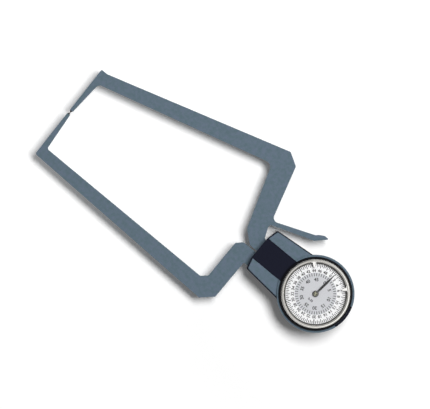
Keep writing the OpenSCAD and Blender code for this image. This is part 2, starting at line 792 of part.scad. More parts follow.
// Flat spiral from the collet out to the stud
collet_r = arbor_body_r + 1.2;
hairspring_t = 0.15;
hairspring_out_r = 8.4;
hairspring_turns = 4;
hairspring_stud_r = 0.8;
hairspring_z = collet_z + 0.3;
stud_spot = [0, hairspring_out_r + hairspring_stud_r];
hairspring_steps = 32 * hairspring_turns;
function spiral(offset) = [for (i = [0:hairspring_steps]) let (t = i / hairspring_steps)
    polar(collet_r + offset + (hairspring_out_r - hairspring_t - collet_r) * t,
        90 + 360 * hairspring_turns * t)];
function backwards(list) = [for (i = [len(list) - 1:-1:0]) list[i]];

module hairspring() {
    color("#6f86b8") plate(concat(spiral(0), backwards(spiral(hairspring_t))), hairspring_z, hairspring_h);
}

module hairspring_collet() {
    color("#cdb36b") translate([0, 0, collet_z]) tube(collet_r, arbor_body_r, hairspring_h + 0.6);
}

module hairspring_stud() {
    color("#cdb36b") translate([stud_spot[0], stud_spot[1], lower_plate_z])
        cylinder(r = hairspring_stud_r, h = hairspring_z + hairspring_h + 0.3 - lower_plate_z);
}

// Zero lies towards -Y, and angles count clockwise seen from above
module at_dial_angle(angle) {
    rotate(-90 - angle) children();
}

pointer_eye_r = 2.4;
pointer_hub_r = 2.2;
pointer_cap_r = 1.75;
pointer_step_r = 1.3;
pointer_reach = min(pointer_len, spacer_in_r - free_clear);
pointer_root_w = 1.5;
pointer_belly_w = 1.9;
pointer_tip_w = 0.2;

// Pointer: widens a little from its eye to its belly, then tapers to its tip
module pointer() {
    root = pointer_root_w / 2;
    belly = pointer_belly_w / 2;
    tip = pointer_tip_w / 2;
    belly_x = 0.55 * pointer_reach;
    color("#15161b") at_dial_angle(pointer_rest) difference() {
        union() {
            plate([[0, -root], [belly_x, -belly], [pointer_reach, -tip], [pointer_reach, tip],
                [belly_x, belly], [0, root]], pointer_z, pointer_t);
            translate([0, 0, pointer_z]) cylinder(r = pointer_eye_r, h = pointer_t);
        }
        cylinder(r = pointer_step_r, h = trim_top);
    }
}

// Hub: flange under the pointer, step through its eye and cap over it
module pointer_hub() {
    color("#84826a") difference() {
        union() {
            translate([0, 0, dial_top + 0.2]) cylinder(r = pointer_step_r, h = crystal_z - dial_top - 0.5);
            translate([0, 0, dial_top + 0.2]) cylinder(r = pointer_hub_r, h = pointer_z - dial_top - 0.2);
            translate([0, 0, pointer_z + pointer_t]) cylinder(r1 = pointer_cap_r, r2 = pointer_cap_r - 0.2,
                h = crystal_z - pointer_z - pointer_t - 0.3);
        }
        cylinder(r = arbor_r, h = crystal_z - 0.5);
    }
}

module dial_face() {
    color("#e6e6e8") translate([0, 0, dial_z]) tube(crystal_r, arbor_r + 0.7, dial_t);
}

module dial_spacer() {
    color("#2a2b2e") translate([0, 0, dial_top]) tube(crystal_r, spacer_in_r, spacer_h);
}

module crystal_gasket() {
    color("#1e1e20") translate([0, 0, gasket_z]) tube(crystal_r, crystal_r - 0.8, gasket_t);
}

module crystal() {
    color("#dfe9ee", 0.3) translate([0, 0, crystal_z]) cylinder(r = crystal_r, h = crystal_t);
}

// Trim ring: crown rounded off on both sides, with a groove under its lip for the markers
crown_w = 0.58 * trim_w;
crown_h = 1;
lip_round_w = 0.2 * trim_w;
lip_round_h = 0.35;

module trim_ring() {
    crown = [for (a = [0:15:90]) [trim_r - crown_w * (1 - cos(a)), trim_top - crown_h * (1 - sin(a))]];
    lip = [for (a = [0:18:90]) [lip_r + lip_round_w * (1 - sin(a)), trim_top - lip_round_h * (1 - cos(a))]];
    foot = [[crystal_r, crystal_top], [crystal_r, trim_seat], [trim_r, trim_seat]];
    groove = [[lip_r, groove_z + groove_h], [groove_r, groove_z + groove_h], [groove_r, groove_z],
        [trim_in_r, groove_z], [trim_in_r, crystal_top]];
    color("#cfcdc6") rotate_extrude() polygon(concat(foot, crown, lip, groove));
}

// Groove that the snap ring sits in, half in the bezel and half in the spigot
snap_wire_r = 0.4;
snap_z = bezel_z + 0.9;

module snap_groove(extra) {
    translate([0, 0, snap_z]) rotate_extrude() translate([spigot_r + 0.02, 0])
        circle(r = snap_wire_r + extra, $fn = 32);
}

module bezel() {
    chamfer = 0.4;
    color("#17181c") difference() {
        rotate_extrude() polygon([[bezel_bore_r, bezel_z], [bezel_r, bezel_z],
            [bezel_r, bezel_top - chamfer], [bezel_r - chamfer, bezel_top], [trim_r, bezel_top],
            [trim_r, trim_seat], [crystal_r, trim_seat], [crystal_r, dial_z], [bezel_bore_r, dial_z]]);
        snap_groove(0);
    }
}

module bezel_snap_ring() {
    color("#a5a7aa") translate([0, 0, snap_z]) rotate(195) rotate_extrude(angle = 330)
        translate([spigot_r + 0.02, 0]) circle(r = snap_wire_r, $fn = 32);
}

// Marker: a shoe in the trim ring's groove and a tab over the crystal
module marker(angle) {
    shoe_half = groove_r * tan(marker_shoe_angle);
    at_dial_angle(angle) intersection() {
        translate([0, 0, marker_z]) cylinder(r = groove_r - 0.05, h = marker_t);
        union() {
            plate([[trim_in_r - marker_len + 0.5, -0.55], [trim_in_r - 1, -1.1], [groove_r, -1.1],
                [groove_r, 1.1], [trim_in_r - 1, 1.1], [trim_in_r - marker_len + 0.5, 0.55]],
                marker_z, marker_t);
            difference() {
                plate([[0, 0], [groove_r, -shoe_half], [groove_r, shoe_half]], marker_z, marker_t);
                cylinder(r = trim_in_r - 0.1, h = trim_top + join);
            }
        }
    }
}

module marker_low() {
    color("#f2f2f0") marker(-marker_angle);
}

module marker_high() {
    color("#f2f2f0") marker(marker_angle);
}

rear_case();
front_shell();
cheek_fixed_side();
cheek_lever_side();
case_screws();
fixed_arm();
fixed_arm_screws();
fixed_arm_dowels();
fixed_contact();
movable_arm();
movable_contact();
pivot_pin();
pivot_bush();
pivot_washers();
stop_pin();
return_spring();
spring_post();
spring_pin();
sector_gear();
sector_screws();
movement_lower_plate();
movement_upper_plate();
plate_pillars();
plate_screws();
arbor_bushes();
intermediate_arbor();
intermediate_pinion();
intermediate_wheel();
centre_arbor();
centre_pinion();
hairspring();
hairspring_collet();
hairspring_stud();
pointer();
pointer_hub();
dial_face();
dial_spacer();
crystal_gasket();
crystal();
trim_ring();
bezel();
bezel_snap_ring();
marker_low();
marker_high();
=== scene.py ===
import json
import math

import bpy
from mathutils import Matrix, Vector


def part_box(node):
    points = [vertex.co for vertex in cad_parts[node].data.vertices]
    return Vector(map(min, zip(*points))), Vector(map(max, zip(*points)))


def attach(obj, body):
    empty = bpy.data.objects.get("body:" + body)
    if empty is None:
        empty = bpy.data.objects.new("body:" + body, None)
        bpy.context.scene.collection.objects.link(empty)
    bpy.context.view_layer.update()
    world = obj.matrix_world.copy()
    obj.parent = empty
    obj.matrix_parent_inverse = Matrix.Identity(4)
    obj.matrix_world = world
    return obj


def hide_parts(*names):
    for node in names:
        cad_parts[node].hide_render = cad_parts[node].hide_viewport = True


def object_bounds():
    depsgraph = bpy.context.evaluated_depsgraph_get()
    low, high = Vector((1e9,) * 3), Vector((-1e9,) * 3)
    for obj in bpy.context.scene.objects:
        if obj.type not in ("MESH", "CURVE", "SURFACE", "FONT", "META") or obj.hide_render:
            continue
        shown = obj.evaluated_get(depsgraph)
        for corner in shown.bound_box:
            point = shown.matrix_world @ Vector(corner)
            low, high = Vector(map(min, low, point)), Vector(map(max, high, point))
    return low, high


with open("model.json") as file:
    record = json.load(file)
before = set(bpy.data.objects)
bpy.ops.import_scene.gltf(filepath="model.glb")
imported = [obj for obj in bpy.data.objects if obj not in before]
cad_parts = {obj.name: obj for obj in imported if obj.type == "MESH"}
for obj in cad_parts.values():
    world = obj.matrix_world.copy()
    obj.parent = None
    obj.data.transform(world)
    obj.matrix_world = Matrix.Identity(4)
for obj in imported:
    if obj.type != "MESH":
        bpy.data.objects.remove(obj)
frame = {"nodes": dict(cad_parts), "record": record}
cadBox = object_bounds()
mm = 0.001
fullTurn = 2 * math.pi
weldGap = 0.002 * mm                # points closer than this become one
flatAngle = math.radians(0.5)       # faces that differ less become one
smoothAngle = math.radians(35)      # edges below this are shaded round
bevelAngle = math.radians(40)       # edges above this are eased
record = frame["record"]
bodyOf = {node: body for body, nodes in record["behaviour"]["bodies"].items() for node in nodes}
slotOf = {part["node"]: part["material_slot"] for part in record["subparts"]}
print("frame loaded:", len(frame["nodes"]), "nodes")


# Camera: straight above the gauge, turned so that the arms reach to the upper left
cameraPlan = {
    "above": (99.9, -3.6),      # point of the object under the lens, mm
    "planeHeight": 9,           # height at which the view is measured, mm
    "planeWidth": 320.4,        # width of the view there, mm
    "distance": 4000,           # lens above that plane, mm
    "turn": 219.55,             # degrees about the vertical
    "sensor": 36,               # mm
    "clipEnd": 10,              # m
}


def makeCamera(plan):
    data = bpy.data.cameras.new("photoCamera")
    camera = bpy.data.objects.new("photoCamera", data)
    bpy.context.scene.collection.objects.link(camera)
    x, y = plan["above"]
    camera.location = Vector((x, y, plan["planeHeight"] + plan["distance"])) * mm
    camera.rotation_euler = (0, 0, math.radians(plan["turn"]))
    data.sensor_width = plan["sensor"]
    data.lens = plan["sensor"] * plan["distance"] / plan["planeWidth"]
    data.clip_end = plan["clipEnd"]
    bpy.context.scene.camera = camera


makeCamera(cameraPlan)
print("camera ready")


# sRGB hex to the linear colour that a shader takes
def toLinear(hexText):
    channels = [int(hexText[i:i + 2], 16) / 255 for i in (1, 3, 5)]
    return tuple(c / 12.92 if c <= 0.04045 else ((c + 0.055) / 1.055) ** 2.4 for c in channels) + (1.0,)


# One node with its settings; an input takes a value, or a socket to link from
def addNode(tree, kind, settings, inputs):
    node = tree.nodes.new(kind)
    for key, value in settings.items():
        if key == "stops":      # colour ramp: place and hex colour of each stop
            stops = node.color_ramp.elements
            while len(stops) < len(value):
                stops.new(1)
            for stop, (place, hexText) in zip(stops, value):
                stop.position = place
                stop.color = toLinear(hexText)
        else:
            setattr(node, key, value)
    for key, value in inputs.items():
        if isinstance(value, bpy.types.NodeSocket):
            tree.links.new(value, node.inputs[key])
        else:
            node.inputs[key].default_value = value
    return node


def startMaterial(name):
    material = bpy.data.materials.new(name)
    material.use_nodes = True
    tree = material.node_tree
    tree.nodes.clear()
    place = addNode(tree, "ShaderNodeTexCoord", {}, {}).outputs["Object"]
    return material, tree, place


def endMaterial(tree, surface):
    addNode(tree, "ShaderNodeOutputMaterial", {}, {"Surface": surface})


polymerIor = 1.5        # typical of enamel, plastics, rubber, lacquer and ink

# Stoved hammer enamel on the arms and cheeks: a soft mottled blue grey with shallow dimples, low gloss
enamelLook = {
    "stops": [(0.36, "#556770"), (0.5, "#5b6b77"), (0.64, "#606d7d")],
    "patch": 2.6, "patchDetail": 5.0, "patchBreak": 0.62,       # size in mm, finer steps and their share
    "dimple": 1.5, "dimpleDepth": 0.03,                         # mm
    "dimpleSoft": 0.9, "dimpleRelief": 0.35,
    "roughness": (0.46, 0.6), "specular": 0.3,
}


def makeEnamel(name, look):
    material, tree, place = startMaterial(name)
    patches = addNode(tree, "ShaderNodeTexNoise", {}, {
        "Vector": place, "Scale": 1 / (look["patch"] * mm),
        "Detail": look["patchDetail"], "Roughness": look["patchBreak"]})
    tone = addNode(tree, "ShaderNodeValToRGB", {"stops": look["stops"]}, {"Fac": patches.outputs["Fac"]})
    gloss = addNode(tree, "ShaderNodeMapRange", {}, {
        "Value": patches.outputs["Fac"], "To Min": look["roughness"][0], "To Max": look["roughness"][1]})
    dimples = addNode(tree, "ShaderNodeTexVoronoi", {"feature": "SMOOTH_F1"}, {
        "Vector": place, "Scale": 1 / (look["dimple"] * mm), "Smoothness": look["dimpleSoft"]})
    relief = addNode(tree, "ShaderNodeBump", {}, {
        "Height": dimples.outputs["Distance"], "Strength": look["dimpleRelief"],
        "Distance": look["dimpleDepth"] * mm})
    shader = addNode(tree, "ShaderNodeBsdfPrincipled", {}, {
        "Base Color": tone.outputs["Color"], "Roughness": gloss.outputs["Result"],
        "Normal": relief.outputs["Normal"], "IOR": polymerIor, "Specular IOR Level": look["specular"]})
    endMaterial(tree, shader.outputs["BSDF"])
    return material


# Plastics, rubber, lacquer and ink: one even tone with a grain that breaks up the gloss
# The real grain is a few hundredths of a mm, and it is drawn coarser so that it shows close up
plainGrain = {"detail": 3.0, "break": 0.6, "relief": 0.5}       # finer steps, their share, relief's share
plainLooks = {
    "mouldedAbs": {         # smooth from the mould: blue black with a faint soft shine
        "stops": [(0.35, "#0e101e"), (0.65, "#141727")],
        "grain": 0.5, "depth": 0.002, "roughness": (0.18, 0.26), "specular": 0.14},
    "anodisedBlack": {      # dyed aluminium, its dark skin hides the metal: deep black
        "stops": [(0.35, "#0c0d10"), (0.65, "#131418")],
        "grain": 0.3, "depth": 0.002, "roughness": (0.2, 0.3), "specular": 0.1},
    "blackLacquer": {       # sprayed thin on the pointer: even black, half matt
        "stops": [(0.35, "#0a0a0d"), (0.65, "#101013")],
        "grain": 0.4, "depth": 0.004, "roughness": (0.35, 0.45), "specular": 0.15},
    "spacerBlackAndShade": {      # moulded matt under the crystal: warm black, kept darker as painted shade for the shadowed gap round the dial
        "stops": [(0.35, "#191814"), (0.65, "#22201b")],
        "grain": 0.4, "depth": 0.01, "roughness": (0.5, 0.6), "specular": 0.15},
    "nitrileRubber": {      # moulded seal: dull dark grey
        "stops": [(0.35, "#1b1b1d"), (0.65, "#232326")],
        "grain": 0.3, "depth": 0.01, "roughness": (0.7, 0.8), "specular": 0.3},
    "whiteAcetal": {        # moulded slip plastic of the markers: warm white, waxy
        "stops": [(0.35, "#f0efec"), (0.65, "#f8f7f4")],
        "grain": 0.4, "depth": 0.004, "roughness": (0.35, 0.45), "specular": 0.4},
    "printingInk": {        # pad printed on the dial: flat black
        "stops": [(0.35, "#121214"), (0.65, "#1c1c1f")],
        "grain": 0.25, "depth": 0.003, "roughness": (0.55, 0.7), "specular": 0.2},
}


def makePlain(name, look):
    material, tree, place = startMaterial(name)
    grain = addNode(tree, "ShaderNodeTexNoise", {}, {
        "Vector": place, "Scale": 1 / (look["grain"] * mm),
        "Detail": plainGrain["detail"], "Roughness": plainGrain["break"]})
    tone = addNode(tree, "ShaderNodeValToRGB", {"stops": look["stops"]}, {"Fac": grain.outputs["Fac"]})
    gloss = addNode(tree, "ShaderNodeMapRange", {}, {
        "Value": grain.outputs["Fac"], "To Min": look["roughness"][0], "To Max": look["roughness"][1]})
    relief = addNode(tree, "ShaderNodeBump", {}, {
        "Height": grain.outputs["Fac"], "Strength": plainGrain["relief"], "Distance": look["depth"] * mm})
    shader = addNode(tree, "ShaderNodeBsdfPrincipled", {}, {
        "Base Color": tone.outputs["Color"], "Roughness": gloss.outputs["Result"],
        "Normal": relief.outputs["Normal"], "IOR": polymerIor, "Specular IOR Level": look["specular"]})
    endMaterial(tree, shader.outputs["BSDF"])
    return material


# Metals: tool marks run round the dial axis, so they cross the small pieces, and vary the gloss
# Real marks are a few hundredths of a mm apart, and they are drawn coarser so that they show close up
metalMarks = {"detail": 4.0, "break": 0.7, "relief": 0.3, "depth": 0.004}       # depth in mm
metalLooks = {
    "satinNickel": {        # plated and satin polished: pale, mirrors the room softly
        "stops": [(0.3, "#c6c4bf"), (0.7, "#d6d4cf")], "mark": 0.35, "roughness": (0.16, 0.27)},
    "turnedSteel": {        # bright from the lathe: clean light grey
        "stops": [(0.3, "#b3b5b8"), (0.7, "#c6c8ca")], "mark": 0.3, "roughness": (0.25, 0.4)},
    "blackenedSteel": {     # oiled black screws: dark grey with a low shine
        "stops": [(0.3, "#34353a"), (0.7, "#46474c")], "mark": 0.3, "roughness": (0.35, 0.5)},
    "sinteredCarbide": {    # ground contact points: almost black
        "stops": [(0.3, "#1b1c1f"), (0.7, "#27282c")], "mark": 0.15, "roughness": (0.3, 0.42)},
    "sinteredBronze": {     # pressed bushes: brown and dull
        "stops": [(0.3, "#a07a45"), (0.7, "#b78f58")], "mark": 0.25, "roughness": (0.4, 0.55)},
    "rolledBrass": {        # stamped plates and wheels: yellow
        "stops": [(0.3, "#c3a552"), (0.7, "#d6bb6d")], "mark": 0.5, "roughness": (0.25, 0.4)},
    "springSteel": {        # drawn wire: mid grey
        "stops": [(0.3, "#8f9196"), (0.7, "#a4a6aa")], "mark": 0.2, "roughness": (0.25, 0.35)},
    "bluedSteel": {         # heat coloured hairspring: deep blue
        "stops": [(0.3, "#3f558f"), (0.7, "#5a74b4")], "mark": 0.2, "roughness": (0.2, 0.3)},
    "dulledBrass": {        # aged hub of the pointer: greyed olive
        "stops": [(0.3, "#6b6a59"), (0.7, "#7c7b67")], "mark": 0.4, "roughness": (0.22, 0.3)},
}


def makeMetal(name, look):
    material, tree, place = startMaterial(name)
    flat = addNode(tree, "ShaderNodeVectorMath", {"operation": "MULTIPLY"}, {0: place, 1: (1, 1, 0)})
    radius = addNode(tree, "ShaderNodeVectorMath", {"operation": "LENGTH"}, {0: flat.outputs["Vector"]})
    parts = addNode(tree, "ShaderNodeSeparateXYZ", {}, {"Vector": place})
    around = addNode(tree, "ShaderNodeCombineXYZ", {}, {
        "X": radius.outputs["Value"], "Z": parts.outputs["Z"]})
    marks = addNode(tree, "ShaderNodeTexNoise", {}, {
        "Vector": around.outputs["Vector"], "Scale": 1 / (look["mark"] * mm),
        "Detail": metalMarks["detail"], "Roughness": metalMarks["break"]})
    tone = addNode(tree, "ShaderNodeValToRGB", {"stops": look["stops"]}, {"Fac": marks.outputs["Fac"]})
    gloss = addNode(tree, "ShaderNodeMapRange", {}, {
        "Value": marks.outputs["Fac"], "To Min": look["roughness"][0], "To Max": look["roughness"][1]})
    relief = addNode(tree, "ShaderNodeBump", {}, {
        "Height": marks.outputs["Fac"], "Strength": metalMarks["relief"],
        "Distance": metalMarks["depth"] * mm})
    shader = addNode(tree, "ShaderNodeBsdfPrincipled", {}, {
        "Base Color": tone.outputs["Color"], "Metallic": 1.0, "Roughness": gloss.outputs["Result"],
        "Normal": relief.outputs["Normal"]})
    endMaterial(tree, shader.outputs["BSDF"])
    return material


# Lacquered dial sheet: white outside, a pale grey disc in the middle, half matt with a faint tooth
# The tooth is drawn coarser than a sprayed lacquer's, so that it shows close up
dialLook = {
    "disc": "#cccdd1", "ring": "#f6f6f7", "discRadius": 15.7, "edge": 0.05,     # mm
    "tooth": 0.3, "toothDetail": 2.0, "roughness": (0.5, 0.65), "specular": 0.3,
}


def makeDialSheet(name, look):
    material, tree, place = startMaterial(name)
    flat = addNode(tree, "ShaderNodeVectorMath", {"operation": "MULTIPLY"}, {0: place, 1: (1, 1, 0)})
    radius = addNode(tree, "ShaderNodeVectorMath", {"operation": "LENGTH"}, {0: flat.outputs["Vector"]})
    inner = (look["discRadius"] - look["edge"]) * mm
    outer = (look["discRadius"] + look["edge"]) * mm
    step = addNode(tree, "ShaderNodeMapRange", {}, {
        "Value": radius.outputs["Value"], "From Min": inner, "From Max": outer})
    tone = addNode(tree, "ShaderNodeValToRGB", {"stops": [(0, look["disc"]), (1, look["ring"])]}, {
        "Fac": step.outputs["Result"]})
    tooth = addNode(tree, "ShaderNodeTexNoise", {}, {
        "Vector": place, "Scale": 1 / (look["tooth"] * mm), "Detail": look["toothDetail"]})
    gloss = addNode(tree, "ShaderNodeMapRange", {}, {
        "Value": tooth.outputs["Fac"], "To Min": look["roughness"][0], "To Max": look["roughness"][1]})
    shader = addNode(tree, "ShaderNodeBsdfPrincipled", {}, {
        "Base Color": tone.outputs["Color"], "Roughness": gloss.outputs["Result"], "IOR": polymerIor,
        "Specular IOR Level": look["specular"]})
    endMaterial(tree, shader.outputs["BSDF"])
    return material


# Polished acrylic crystal: clear with a trace of grey, lets the light through to the dial
crystalLook = {
    "tint": "#fdfdfd", "ior": 1.49, "roughness": 0.02,
    "ripple": 12, "rippleDepth": 0.002, "rippleRelief": 0.2,    # mm, mm, share of the depth
}


def makeCrystal(name, look):
    material, tree, place = startMaterial(name)
    ripple = addNode(tree, "ShaderNodeTexNoise", {}, {"Vector": place, "Scale": 1 / (look["ripple"] * mm)})
    relief = addNode(tree, "ShaderNodeBump", {}, {
        "Height": ripple.outputs["Fac"], "Strength": look["rippleRelief"],
        "Distance": look["rippleDepth"] * mm})
    glass = addNode(tree, "ShaderNodeBsdfPrincipled", {}, {
        "Base Color": toLinear(look["tint"]), "Roughness": look["roughness"], "IOR": look["ior"],
        "Transmission Weight": 1.0, "Normal": relief.outputs["Normal"]})
    clear = addNode(tree, "ShaderNodeBsdfTransparent", {}, {"Color": toLinear(look["tint"])})
    path = addNode(tree, "ShaderNodeLightPath", {}, {})
    light = addNode(tree, "ShaderNodeMath", {"operation": "MAXIMUM"}, {     # light to and from the dial
        0: path.outputs["Is Shadow Ray"], 1: path.outputs["Is Diffuse Ray"]})
    both = addNode(tree, "ShaderNodeMixShader", {}, {
        0: light.outputs["Value"], 1: glass.outputs["BSDF"], 2: clear.outputs["BSDF"]})
    endMaterial(tree, both.outputs["Shader"])
    return material


enamel = makeEnamel("hammerEnamel", enamelLook)
plain = {name: makePlain(name, look) for name, look in plainLooks.items()}
metal = {name: makeMetal(name, look) for name, look in metalLooks.items()}
finishes = {
    "case_black": plain["mouldedAbs"], "enamel_grey": enamel, "arm_enamel": enamel,
    "screw_dark": metal["blackenedSteel"], "steel": metal["turnedSteel"],
    "contact_carbide": metal["sinteredCarbide"], "bronze": metal["sinteredBronze"],
    "brass": metal["rolledBrass"], "spring_steel": metal["springSteel"], "spring_blue": metal["bluedSteel"],
    "pointer_black": plain["blackLacquer"], "hub_brass": metal["dulledBrass"],
    "dial_white": makeDialSheet("lacqueredDial", dialLook), "spacer_dark": plain["spacerBlackAndShade"],
    "gasket_rubber": plain["nitrileRubber"], "crystal_clear": makeCrystal("clearAcrylic", crystalLook),
    "trim_nickel": metal["satinNickel"], "bezel_black": plain["anodisedBlack"],
    "marker_white": plain["whiteAcetal"],
}
for node, piece in frame["nodes"].items():
    piece.data.materials.clear()
    piece.data.materials.append(finishes[slotOf[node]])
print("materials ready:", len(bpy.data.materials))


def deselectAll():
    if bpy.context.object and bpy.context.object.mode != "OBJECT":
        bpy.ops.object.mode_set(mode="OBJECT")
    bpy.ops.object.select_all(action="DESELECT")


def takeUp(piece):              # the one selected and active object
    deselectAll()
    piece.select_set(True)
    bpy.context.view_layer.objects.active = piece


def settle(piece):              # its place, turn and size go into the mesh
    takeUp(piece)
    bpy.ops.object.transform_apply(location=True, rotation=True, scale=True)


def standFor(piece, node):      # takes the node's finish, body and place
    slot = slotOf[node]
    piece.data.materials.clear()
    piece.data.materials.append(finishes[slot])
    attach(piece, bodyOf[node])
    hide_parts(node)


# Copy of a node with its loose triangles merged and flat stretches made one face
def copyNode(node, name):
    piece = bpy.data.objects.new(name, frame["nodes"][node].data.copy())
    bpy.context.scene.collection.objects.link(piece)
    takeUp(piece)
    bpy.ops.mesh.customdata_custom_splitnormals_clear()
    bpy.ops.object.mode_set(mode="EDIT")
    bpy.ops.mesh.select_all(action="SELECT")
    bpy.ops.mesh.remove_doubles(threshold=weldGap)
    bpy.ops.mesh.dissolve_limited(angle_limit=flatAngle)
    bpy.ops.object.mode_set(mode="OBJECT")
    return piece


def easeEdges(piece, width, segments):
    takeUp(piece)
    bevel = piece.modifiers.new("edges", "BEVEL")
    bevel.width = width * mm
    bevel.segments = segments
    bevel.limit_method = "ANGLE"
    bevel.angle_limit = bevelAngle
    bpy.ops.object.modifier_apply(modifier=bevel.name)
    bpy.ops.object.shade_smooth_by_angle(angle=smoothAngle)
    level = piece.modifiers.new("flatFaces", "WEIGHTED_NORMAL")     # large faces stay flat to the eye
    level.keep_sharp = True
    bpy.ops.object.modifier_apply(modifier=level.name)


# Pieces that keep the node's shape and get eased edges: name, edge in mm, steps of the edge
easedPieces = {
    "rear_case": ("rearCase", 0.6, 3), "front_shell": ("frontShell", 0.25, 2),
    "cheek_fixed_side": ("cheekFixedSide", 0.25, 2), "cheek_lever_side": ("cheekLeverSide", 0.25, 2),
    "fixed_arm": ("fixedArm", 0.45, 3), "movable_arm": ("movableArm", 0.45, 3),
    "fixed_contact": ("fixedContact", 0.08, 2), "movable_contact": ("movableContact", 0.08, 2),
    "crystal": ("crystalDisc", 0.15, 2), "dial_face": ("dialSheet", 0.05, 1),
    "pointer": ("pointerHand", 0.06, 2), "pointer_hub": ("pointerHub", 0.12, 2),
    "marker_low": ("markerLow", 0.08, 2), "marker_high": ("markerHigh", 0.08, 2),
    "case_screws": ("caseScrews", 0.12, 2),
}
for node, (name, width, segments) in easedPieces.items():
    piece = copyNode(node, name)
    easeEdges(piece, width, segments)
    standFor(piece, node)
print("eased pieces:", len(easedPieces))


# Closed section of (radius, height) points turned once about the dial axis
def turnSection(name, points, steps):
    deselectAll()
    bpy.ops.mesh.primitive_circle_add(vertices=len(points), radius=mm)
    piece = bpy.context.object
    piece.name = name
    for vertex, (radius, height) in zip(piece.data.vertices, points):
        vertex.co = (radius, 0, height)
    bpy.ops.object.mode_set(mode="EDIT")
    bpy.ops.mesh.select_all(action="SELECT")
    bpy.ops.mesh.spin(steps=steps, angle=fullTurn, center=(0, 0, 0), axis=(0, 0, 1))
    bpy.ops.mesh.select_all(action="SELECT")
    bpy.ops.mesh.remove_doubles(threshold=weldGap)
    bpy.ops.mesh.normals_make_consistent(inside=False)
    bpy.ops.mesh.select_all(action="DESELECT")
    bpy.ops.object.mode_set(mode="OBJECT")
    return piece


# Quarter round of a section from start to end; outwards it leaves start upright, else level
def quarterRound(start, end, steps, outwards):
    points = []
    for i in range(steps + 1):
        angle = math.pi / 2 * i / steps
        across, up = 1 - math.cos(angle), math.sin(angle)
        if not outwards:
            across, up = up, across
        points.append((start[0] + (end[0] - start[0]) * across, start[1] + (end[1] - start[1]) * up))
    return points


bezelLow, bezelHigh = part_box("bezel")
trimLow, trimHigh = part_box("trim_ring")
crystalLow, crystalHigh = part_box("crystal")
dialLow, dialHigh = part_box("dial_face")

# Bezel: black ring with a serrated grip, reached through the gap at the rear of the collar; sizes in mm
bezelPlan = {"teeth": 180, "depth": 0.3, "foot": 0.35, "shoulder": 0.75, "bore": 0.45,
             "lip": 0.5, "lipDrop": 0.45, "lipSteps": 4}


def makeBezel(plan):
    outer = bezelHigh.x
    bore = crystalHigh.x - plan["bore"] * mm
    top, foot = bezelHigh.z, bezelLow.z
    lipStart = (outer, top - plan["lipDrop"] * mm)
    lipEnd = (outer - plan["lip"] * mm, top)
    points = [(bore, foot), (outer - plan["foot"] * mm, foot), (outer, foot + plan["foot"] * mm),
              (outer, top - plan["shoulder"] * mm)]
    points += quarterRound(lipStart, lipEnd, plan["lipSteps"], True)
    points += [(trimHigh.x, top), (trimHigh.x, trimLow.z), (crystalHigh.x, trimLow.z),
               (crystalHigh.x, dialLow.z), (bore, dialLow.z)]
    steps = 2 * plan["teeth"]
    piece = turnSection("bezelRing", points, steps)
    gripLow = foot + plan["foot"] / 2 * mm
    gripHigh = top - (plan["shoulder"] + plan["lip"]) / 2 * mm
    for vertex in piece.data.vertices:      # every other line of the grip
        turn = round(math.atan2(vertex.co.y, vertex.co.x) / fullTurn * steps) % 2
        onWall = math.hypot(vertex.co.x, vertex.co.y) > outer - weldGap
        vertex.select = bool(turn and onWall and gripLow < vertex.co.z < gripHigh)
    takeUp(piece)
    bpy.ops.object.mode_set(mode="EDIT")
    scale = 1 - plan["depth"] * mm / outer
    bpy.ops.transform.resize(value=(scale, scale, 1), center_override=(0, 0, 0))
    bpy.ops.object.mode_set(mode="OBJECT")
    bpy.ops.object.shade_smooth_by_angle(angle=smoothAngle)
    standFor(piece, "bezel")


makeBezel(bezelPlan)

# Trim ring: bright ring with a rounded crown and an undercut that the markers slide in; sizes in mm
trimPlan = {"inner": 23.5, "lip": 23.9, "groove": 24.3, "grooveLow": 0.25, "grooveHigh": 0.85,
            "crownOut": 1.6, "dropOut": 1.45, "stepsOut": 6,
            "crownIn": 0.5, "dropIn": 0.4, "stepsIn": 5, "steps": 144}


def makeTrim(plan):
    outer, top, seat = trimHigh.x, trimHigh.z, trimLow.z
    lip, groove, inner = plan["lip"] * mm, plan["groove"] * mm, plan["inner"] * mm
    low, high = crystalHigh.z + plan["grooveLow"] * mm, crystalHigh.z + plan["grooveHigh"] * mm
    outStart = (outer, top - plan["dropOut"] * mm)
    outEnd = (outer - plan["crownOut"] * mm, top)
    inStart = (lip + plan["crownIn"] * mm, top)
    inEnd = (lip, top - plan["dropIn"] * mm)
    points = [(crystalHigh.x, seat), (outer, seat)]
    points += quarterRound(outStart, outEnd, plan["stepsOut"], True)
    points += quarterRound(inStart, inEnd, plan["stepsIn"], False)
    points += [(lip, high), (groove, high), (groove, low), (inner, low), (inner, crystalHigh.z),
               (crystalHigh.x, crystalHigh.z)]
    piece = turnSection("trimRing", points, plan["steps"])
    bpy.ops.object.shade_smooth_by_angle(angle=smoothAngle)
    standFor(piece, "trim_ring")


makeTrim(trimPlan)
print("bezel and trim ring made")

# Print on the dial: rings of ticks and numerals, a hair thick; zero lies towards -Y and counts clockwise
inkPlan = {"thick": 0.03, "bold": 0.03}     # mm, and what a numeral's strokes gain as a share of its size
tickRings = {
    "ticksFine": {"count": 100, "inner": 20.4, "outer": 22.3, "width": 0.5},
    "ticksMid": {"count": 50, "inner": 19.8, "outer": 22.3, "width": 0.5},
    "ticksLong": {"count": 25, "inner": 19.2, "outer": 22.3, "width": 0.5},
    "ticksTen": {"count": 5, "inner": 18.9, "outer": 22.5, "width": 0.62},
    "ticksInner": {"count": 50, "inner": 13.1, "outer": 15.4, "width": 0.5},
}
numeralRings = {
    "numeralsOuter": {"count": 25, "step": 2, "radius": 17.1, "size": 3.0},
    "numeralsInner": {"count": 10, "step": 5, "radius": 10.5, "size": 3.4},
}
rangeNumerals = {"text": "0-50", "angle": 180, "radius": 6.0, "size": 2.3}


def printOnDial(piece):
    piece.data.materials.clear()
    piece.data.materials.append(plain["printingInk"])
    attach(piece, bodyOf["dial_face"])


